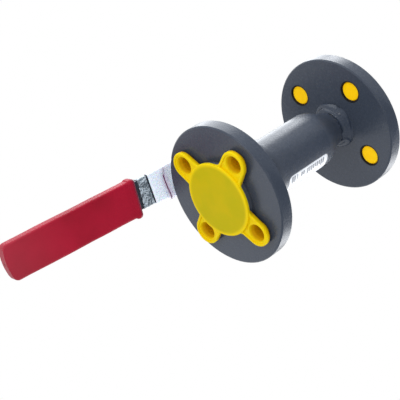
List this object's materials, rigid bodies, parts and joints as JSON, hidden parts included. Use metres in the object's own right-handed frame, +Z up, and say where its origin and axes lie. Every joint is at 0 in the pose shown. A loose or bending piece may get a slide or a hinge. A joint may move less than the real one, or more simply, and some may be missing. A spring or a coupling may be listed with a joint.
{
  "type": "flanged ball valve",
  "caption": "Flanged full-bore ball valve with a swaged round body, a tall stem housing, a flat lever with a soft grip, and a push-in protector on each flange.",
  "frame": {"origin": "centre of the ball, where the flow axis and the stem axis cross", "axes": "+X along the flow axis towards the front flange, over which the open lever lies; +Z up the stem; +Y to the left seen from above with the lever pointing ahead"},
  "size_m": [0.2314, 0.095, 0.158],
  "materials": {
    "body_paint": "satin dark grey-blue enamel",
    "bare_steel": "drawn and turned steel",
    "spring_steel": "hardened spring steel, lightly oiled",
    "polished_ball": "polished stainless ball",
    "stem_steel": "fine turned stainless steel",
    "lever_steel": "dark phosphated steel strip",
    "zinc_plate": "bright zinc plate",
    "seat_polymer": "carbon-filled white seat polymer",
    "seal_rubber": "black seal rubber",
    "yellow_plastic": "moulded yellow polythene",
    "red_vinyl": "dipped red soft vinyl",
    "leaflet_paper": "thin white paper, folded",
    "clear_film": "clear press-seal film",
    "label_paper": "white label with plain printed bars"
  },
  "bodies": {
    "valve_body": {"body_tube": "body_paint", "front_pipe": "bare_steel", "rear_pipe": "bare_steel", "front_flange": "body_paint", "rear_flange": "body_paint", "front_flange_weld": "body_paint", "rear_flange_weld": "body_paint", "stem_housing": "body_paint", "housing_weld": "body_paint", "stem_bush": "seat_polymer", "thrust_washer": "seat_polymer", "stop_pin": "stem_steel", "body_label": "label_paper", "front_seat": "seat_polymer", "front_seat_carrier": "bare_steel", "front_seat_seal": "seal_rubber", "front_disc_spring": "spring_steel", "rear_seat": "seat_polymer", "rear_seat_carrier": "bare_steel", "rear_seat_seal": "seal_rubber", "rear_disc_spring": "spring_steel"},
    "lever_set": {"ball": "polished_ball", "stem": "stem_steel", "stem_o_rings": "seal_rubber", "lever": "lever_steel", "spring_washer": "zinc_plate", "lever_nut": "zinc_plate", "lever_grip": "red_vinyl", "instruction_leaflet": "leaflet_paper", "leaflet_bag": "clear_film", "bag_tape": "clear_film"},
    "front_protector": {"front_cap": "yellow_plastic"},
    "rear_protector": {"rear_cap": "yellow_plastic"}
  },
  "joints": [
    {"name": "lever_turn", "type": "hinge", "parent": "valve_body", "child": "lever_set", "pos_m": [0, 0, 0], "axis": [0, 0, 1], "range_deg": [-90, 0]},
    {"name": "front_cap_pull", "type": "slide", "parent": "valve_body", "child": "front_protector", "axis": [1, 0, 0], "range_m": [0, 0.1]},
    {"name": "rear_cap_pull", "type": "slide", "parent": "valve_body", "child": "rear_protector", "axis": [-1, 0, 0], "range_m": [0, 0.1]}
  ]
}
